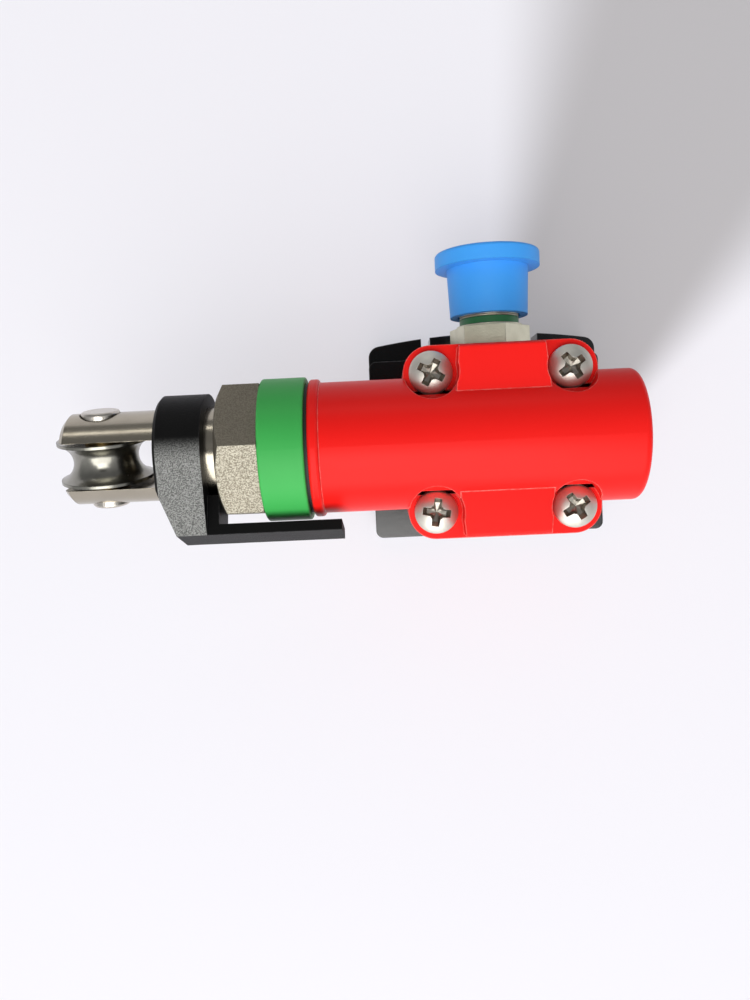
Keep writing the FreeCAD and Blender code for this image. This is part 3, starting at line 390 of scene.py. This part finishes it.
def turned(name, profile, segments=72):
    """A mesh turned about Z from (radius, height) points, bottom to top."""
    points, rings = [], []
    for radius, level in profile:
        if radius == 0:
            rings.append([len(points)] * segments)
            points.append((0, 0, level * MM))
            continue
        rings.append(list(range(len(points), len(points) + segments)))
        for step in range(segments):
            angle = math.tau * step / segments
            points.append((radius * math.cos(angle) * MM, radius * math.sin(angle) * MM, level * MM))
    faces = []
    for lower, upper in zip(rings, rings[1:]):
        for step in range(segments):
            after = (step + 1) % segments
            corners = [lower[step], lower[after], upper[after], upper[step]]
            faces.append(list(dict.fromkeys(corners)))
    mesh = bpy.data.meshes.new(name)
    mesh.from_pydata(points, [], faces)
    return mesh


HEAD_RADIUS, RIM_RADIUS, RIM_HEIGHT, HEAD_HEIGHT = 4.1, 3.9, 1.25, 2.9
SHANK_RADIUS, SHANK_POINT = 2.0, 1.6
DOME_STEPS = 12
dome_rise = HEAD_HEIGHT - RIM_HEIGHT
dome_ball = (RIM_RADIUS ** 2 + dome_rise ** 2) / (2 * dome_rise)
dome = []
for step in range(DOME_STEPS + 1):
    out = RIM_RADIUS * (1 - step / DOME_STEPS)
    dome.append((out, HEAD_HEIGHT - dome_ball + math.sqrt(dome_ball ** 2 - out ** 2)))
shank = [(0, -SCREW_LENGTH), (SHANK_POINT, -SCREW_LENGTH), (SHANK_RADIUS, 0.5 - SCREW_LENGTH), (SHANK_RADIUS, 0)]
profile = [*shank, (4.0, 0), (HEAD_RADIUS, 0.1), (HEAD_RADIUS, 0.85), (4.04, 1.08), *dome]
blank = bpy.data.objects.new("screw_blank", turned("screw_blank", profile))


def cross(long, thin, corner, level):
    """The sixteen corners of a cross recess at one level."""
    quarter = [(long, -thin), (long, thin), (thin + corner, thin), (thin, thin + corner)]
    return [((x * c - y * s) * MM, (x * s + y * c) * MM, level * MM)
            for c, s in ((1, 0), (0, 1), (-1, 0), (0, -1)) for x, y in quarter]


# the punch leans from above the dome down to its foot, and ends in a low point
punch_top = cross(3.45, 0.88, 0.55, 3.3)
punch_foot = cross(1.85, 0.50, 0.30, 1.15)
PUNCH_POINT = (0, 0, 0.75 * MM)
count = len(punch_top)
punch_mesh = bpy.data.meshes.new("recess_punch")
punch_mesh.from_pydata(
    punch_foot + punch_top + [PUNCH_POINT], [],
    [list(range(count, 2 * count))]
    + [[n, (n + 1) % count, count + (n + 1) % count, count + n] for n in range(count)]
    + [[(n + 1) % count, n, 2 * count] for n in range(count)])
punch_tool = bpy.data.objects.new("recess_punch", punch_mesh)
blank.data.materials.append(screw_steel)
blank.data.materials.append(recess_shade_steel)
punch_mesh.materials.append(screw_steel)
punch_mesh.materials.append(recess_shade_steel)
# the punched recess faces take the darker material: painted shade
for face in punch_mesh.polygons:
    face.material_index = 1
for tool in (blank, punch_tool):
    bpy.context.scene.collection.objects.link(tool)
hollow = blank.modifiers.new("recess", "BOOLEAN")
hollow.operation = "DIFFERENCE"
hollow.solver = "EXACT"
hollow.object = punch_tool
punched = bpy.data.meshes.new_from_object(blank.evaluated_get(bpy.context.evaluated_depsgraph_get()))
punched.name = "pan_head_screw"
for face in punched.polygons:
    face.use_smooth = True
punched.set_sharp_from_angle(angle=math.radians(28))
for tool in (blank, punch_tool):
    bpy.data.objects.remove(tool)
for number in range(1, 5):
    node = "cover_screw_%d" % number
    low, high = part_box(node)
    middle = (low + high) / 2
    corner = (1 if middle.x > 0 else -1, 1 if middle.y > 0 else -1)
    screw = bpy.data.objects.new("pan_screw_%d" % number, punched)
    bpy.context.scene.collection.objects.link(screw)
    screw.location = (middle.x, middle.y, low.z + SCREW_LENGTH * MM)
    screw.rotation_euler.z = math.radians(RECESS_TURN[corner])
    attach(screw, frame["nodes"][node]["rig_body"])
    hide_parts(node)


# Plug connector: nickel-plated brass shell with a cut thread, a green seal ring on its foot and a black
# pin carrier pressed inside.
# painted dark reflection: the shell's sharp edges are darkened
nickel, nickel_tree, nickel_shader = drifting(
    "connector_nickel", (0.80, 0.79, 0.62), (0.60, 0.585, 0.44), 400.0, 0.34, 0.14, 3000.0, 0.05, edge=0.2,
    edge_light_tone=(0.25, 0.24, 0.18), edge_light_amount=0.5, edge_light_width=0.15, Metallic=1.0)
THREAD_PITCH = 1.0 * MM
thread_foot, thread_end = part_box("connector_seal")[1].y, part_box("connector_shell")[1].y
place_of = nickel_tree.nodes.new("ShaderNodeTexCoord")
turns = nickel_tree.nodes.new("ShaderNodeTexWave")
turns.bands_direction = "Y"
turns.inputs["Scale"].default_value = math.tau / 20 / THREAD_PITCH
nickel_tree.links.new(place_of.outputs["Object"], turns.inputs["Vector"])
outward = nickel_tree.nodes.new("ShaderNodeSeparateXYZ")
nickel_tree.links.new(place_of.outputs["Object"], outward.inputs["Vector"])
cut_part = nickel_tree.nodes.new("ShaderNodeMapRange")
cut_part.inputs["From Min"].default_value = thread_foot + 0.2 * MM
cut_part.inputs["From Max"].default_value = thread_foot + 0.4 * MM
nickel_tree.links.new(outward.outputs["Y"], cut_part.inputs["Value"])
thread = nickel_tree.nodes.new("ShaderNodeBump")
thread.inputs["Distance"].default_value = 0.4 * MM
nickel_tree.links.new(math_node(nickel_tree, "MULTIPLY", turns.outputs["Fac"], cut_part.outputs["Result"]),
                      thread.inputs["Height"])
nickel_tree.links.new(nickel_shader.inputs["Normal"].links[0].from_socket, thread.inputs["Normal"])
nickel_tree.links.new(thread.outputs["Normal"], nickel_shader.inputs["Normal"])
dress(nickel, "connector_shell")
seal_green, seal_tree, seal_shader = drifting(
    "seal_green", (0.02, 0.20, 0.06), (0.016, 0.15, 0.045), 400.0, 0.4, 0.08, 2000.0, 0.01)
dress(seal_green, "connector_seal")
# the carrier shares the pointer's painted sheen and painted edge highlight
dress(nylon, "connector_carrier")


# Dust cap: soft blue plastic, moulded in one piece and pushed over the connector's thread.
# A little light goes through its thin wall.
# painted shade: the cap's sharp edges are darkened
blue, blue_tree, blue_shader = drifting(
    "cap_blue", (0.055, 0.38, 0.95), (0.050, 0.35, 0.90), 90.0, 0.46, 0.08, 1400.0, 0.010, edge=0.4,
    edge_light_tone=(0.02, 0.20, 0.62), edge_light_amount=0.5, edge_light_width=0.3, Specular_IOR_Level=0.3, Subsurface_Weight=0.1)
blue_shader.inputs["Subsurface Scale"].default_value = 0.6 * MM
blue_shader.inputs["Subsurface Radius"].default_value = (0.3, 0.6, 1.0)
dress(blue, "dust_cap")


# Bench: a flat pale sheet that glows with painted light, with a painted shadow: a wide soft dark wedge in its colour
# at one side.
bench_mesh = bpy.data.meshes.new("bench")
BENCH_REACH = 1.6
bench_corners = [(x * BENCH_REACH, y * BENCH_REACH, 0) for x, y in ((-1, -1), (1, -1), (1, 1), (-1, 1))]
bench_mesh.from_pydata(bench_corners, [], [(0, 1, 2, 3)])
bench = bpy.data.objects.new("bench", bench_mesh)
bpy.context.scene.collection.objects.link(bench)
# painted light: the sheet glows at 0.6 of its tint and reflects only 0.4 of it, so shadows on it come out weaker
glowing_paper, paper_tree, paper_shader = finish("bench_paper_glowing", Roughness=0.85, Emission_Strength=0.6)
paper_shader.inputs["Specular IOR Level"].default_value = 0.1
SHADE_START = Vector((24, 26, 0)) * MM
SHADE_ALONG = Vector((0.454, 0.891, 0))
SHADE_ACROSS = Vector((0.891, -0.454, 0))
place_of = paper_tree.nodes.new("ShaderNodeTexCoord")
from_start = paper_tree.nodes.new("ShaderNodeVectorMath")
from_start.operation = "SUBTRACT"
from_start.inputs[1].default_value = SHADE_START
paper_tree.links.new(place_of.outputs["Object"], from_start.inputs[0])


def projected(direction):
    node = paper_tree.nodes.new("ShaderNodeVectorMath")
    node.operation = "DOT_PRODUCT"
    node.inputs[1].default_value = direction
    paper_tree.links.new(from_start.outputs["Vector"], node.inputs[0])
    return node.outputs["Value"]


along, across = projected(SHADE_ALONG), projected(SHADE_ACROSS)
aside = math_node(paper_tree, "ABSOLUTE", across, 0.0)
half_width = math_node(paper_tree, "ADD", math_node(paper_tree, "MULTIPLY", along, 0.3), 20 * MM)
softness = math_node(paper_tree, "ADD", math_node(paper_tree, "MULTIPLY", along, 0.3), 10 * MM)
inside = math_node(paper_tree, "DIVIDE", math_node(paper_tree, "SUBTRACT", half_width, aside), softness)
fade = paper_tree.nodes.new("ShaderNodeMapRange")
fade.interpolation_type = "SMOOTHSTEP"
fade.inputs["From Min"].default_value = -0.5
fade.inputs["From Max"].default_value = 0.6
paper_tree.links.new(inside, fade.inputs["Value"])
begin = paper_tree.nodes.new("ShaderNodeMapRange")
begin.interpolation_type = "SMOOTHSTEP"
begin.inputs["From Min"].default_value = -30 * MM
begin.inputs["From Max"].default_value = -8 * MM
paper_tree.links.new(along, begin.inputs["Value"])
shade = math_node(paper_tree, "MULTIPLY", fade.outputs["Result"], begin.outputs["Result"])
# painted shadow: the tint is mixed towards a darker grey in a soft wedge that starts beside the switch and widens
# along SHADE_ALONG
tint = paper_tree.nodes.new("ShaderNodeMix")
tint.data_type = "RGBA"
tint.inputs["A"].default_value = (0.885, 0.875, 0.925, 1)
tint.inputs["B"].default_value = (0.515, 0.50, 0.515, 1)
paper_tree.links.new(shade, tint.inputs["Factor"])
paper_tree.links.new(tint.outputs["Result"], paper_shader.inputs["Emission Color"])
matt = paper_tree.nodes.new("ShaderNodeVectorMath")
matt.operation = "SCALE"
matt.inputs["Scale"].default_value = 0.4
paper_tree.links.new(tint.outputs["Result"], matt.inputs[0])
paper_tree.links.new(matt.outputs["Vector"], paper_shader.inputs["Base Color"])
bench_mesh.materials.append(glowing_paper)


# Light: a wide soft window on the near side, a lamp nearly overhead and a narrow window far off, in
# a room that is darker to the north and dark straight above, where the camera hangs.
def window(name, place, aim, width, height, power, colour=(1, 1, 1)):
    lamp = bpy.data.lights.new(name, "AREA")
    lamp.shape = "RECTANGLE"
    lamp.size, lamp.size_y = width, height
    lamp.energy = power
    lamp.color = colour
    holder = bpy.data.objects.new(name, lamp)
    bpy.context.scene.collection.objects.link(holder)
    holder.location = place
    holder.rotation_euler = (Vector(aim) - Vector(place)).to_track_quat("-Z", "Y").to_euler()


window("near_window", (-0.12, -0.72, 0.63), (0, 0, 0.02), 1.0, 0.8, 7.4, (1.0, 0.985, 0.96))
window("ceiling_lamp", (-0.05, -0.28, 0.92), (0, 0, 0.02), 0.6, 0.42, 3.0, (1.0, 0.99, 0.97))
window("far_window", (-0.12, 0.76, 0.36), (0, 0, 0.02), 0.7, 0.07, 0.5, (1.0, 0.98, 0.95))
room = bpy.data.worlds.new("room")
bpy.context.scene.world = room
room.use_nodes = True
room_tree = room.node_tree
sky = room_tree.nodes["Background"]
direction = room_tree.nodes.new("ShaderNodeTexCoord")
camera_way = room_tree.nodes.new("ShaderNodeVectorMath")
camera_way.operation = "DOT_PRODUCT"
camera_way.inputs[1].default_value = (0.0, 0.09, 0.996)
room_tree.links.new(direction.outputs["Generated"], camera_way.inputs[0])
parts = room_tree.nodes.new("ShaderNodeSeparateXYZ")
room_tree.links.new(direction.outputs["Generated"], parts.inputs["Vector"])
nearness = room_tree.nodes.new("ShaderNodeMapRange")
nearness.inputs["From Min"].default_value = 0.5
nearness.inputs["From Max"].default_value = -0.7
nearness.inputs["To Min"].default_value = 0.25
nearness.inputs["To Max"].default_value = 0.66
room_tree.links.new(parts.outputs["Y"], nearness.inputs["Value"])
overhead = room_tree.nodes.new("ShaderNodeMapRange")
overhead.interpolation_type = "SMOOTHSTEP"
overhead.inputs["From Min"].default_value = 0.965
overhead.inputs["From Max"].default_value = 0.992
overhead.inputs["To Min"].default_value = 1.0
overhead.inputs["To Max"].default_value = 0.08
room_tree.links.new(camera_way.outputs["Value"], overhead.inputs["Value"])
room_tree.links.new(math_node(room_tree, "MULTIPLY", nearness.outputs["Result"], overhead.outputs["Result"]),
                    sky.inputs["Strength"])
sky.inputs["Color"].default_value = (0.95, 0.96, 1.0, 1)


# Camera: looks straight down from 165 mm above the tube's axis, where the photograph was taken;
# the switch lies turned and tipped by a few degrees under it.
camera_data = bpy.data.cameras.new("camera")
camera = bpy.data.objects.new("camera", camera_data)
bpy.context.scene.collection.objects.link(camera)
bpy.context.scene.camera = camera
PHOTO_HEIGHT = 1000
FOCAL_PIXELS = 860
camera_data.sensor_width = 36.0
camera_data.lens = FOCAL_PIXELS * camera_data.sensor_width / PHOTO_HEIGHT
camera_data.clip_start = 0.01
camera_height = 165.0 * MM
camera_aside = Vector((24.04, 11.56, 0)) * MM
yaw, pitch, roll = 0.045, -0.021, 0.058
gland_low, gland_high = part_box("hex_gland")
tube_axis = Vector((0, 0, (gland_low.z + gland_high.z) / 2))
tipped = Matrix.Rotation(yaw, 4, "Z") @ Matrix.Rotation(pitch, 4, "Y") @ Matrix.Rotation(roll, 4, "X")
seen = Matrix.Translation(camera_aside - Vector((0, 0, camera_height))) @ tipped @ Matrix.Translation(-tube_axis)
camera.matrix_world = seen.inverted()

bpy.context.scene.view_settings.view_transform = "Standard"
